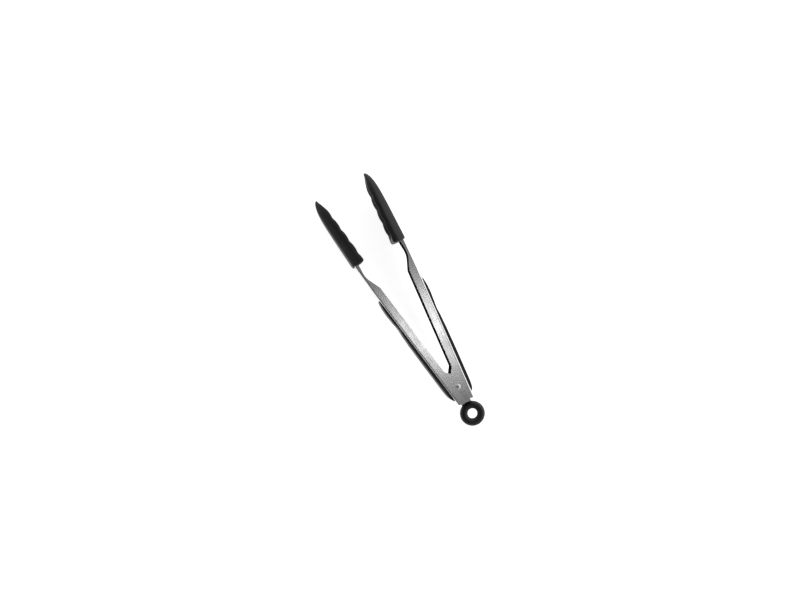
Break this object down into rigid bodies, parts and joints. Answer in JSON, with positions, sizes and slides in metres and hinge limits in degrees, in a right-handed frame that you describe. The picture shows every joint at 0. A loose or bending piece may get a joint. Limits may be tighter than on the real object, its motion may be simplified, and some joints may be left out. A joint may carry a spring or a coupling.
{
  "type": "kitchen tongs",
  "caption": "Spring loaded kitchen tongs with sheet steel channel arms, soft back grips, scalloped spoon-shaped heads and a pull-ring lock tab at the pivot end.",
  "frame": {"origin": "middle of the underside of the box round the open tongs, lying flat", "axes": "+Y from the pull ring towards the tips, +X towards the right arm, +Z along the pivot"},
  "size_m": [0.058, 0.2424, 0.031],
  "materials": {
    "steel": "satin, fine grain along the arm",
    "rivet_steel": "bright, formed",
    "spring_steel": "drawn wire",
    "core_plastic": "moulded",
    "grip_plastic": "moulded",
    "spool_plastic": "moulded",
    "silicone": "soft matte silicone",
    "grip_rubber": "soft matte",
    "ring_rubber": "soft satin"
  },
  "bodies": {
    "pivot": {"pivot_rivet": "rivet_steel", "rivet_washer": "rivet_steel", "spring_spool": "spool_plastic", "lower_spacer": "spool_plastic", "torsion_spring": "spring_steel"},
    "left_arm": {"left_arm": "steel", "left_head_core": "core_plastic", "left_head_cover": "silicone", "left_grip_base": "grip_plastic", "left_grip_skin": "grip_rubber"},
    "right_arm": {"right_arm": "steel", "right_head_core": "core_plastic", "right_head_cover": "silicone", "right_grip_base": "grip_plastic", "right_grip_skin": "grip_rubber"},
    "lock_tab": {"lock_plate": "steel", "pull_ring": "ring_rubber"}
  },
  "joints": [
    {"name": "left_arm_close", "type": "hinge", "parent": "pivot", "child": "left_arm", "pos_m": [0, -0.08174, 0.0155], "axis": [0, 0, -1], "range_deg": [0, 5.9], "stiffness_Nm_per_rad": 1.7, "springref_deg": -5.04, "deforming": ["torsion_spring"]},
    {"name": "right_arm_close", "type": "hinge", "parent": "pivot", "child": "right_arm", "pos_m": [0, -0.08174, 0.0155], "axis": [0, 0, 1], "range_deg": [0, 5.9], "stiffness_Nm_per_rad": 1.7, "springref_deg": -5.04},
    {"name": "tab_slide", "type": "slide", "parent": "pivot", "child": "lock_tab", "axis": [0, -1, 0], "range_m": [0, 0.007]}
  ],
  "couplings": [
    {"joint": "right_arm_close", "follows": "left_arm_close", "ratio": 1}
  ]
}
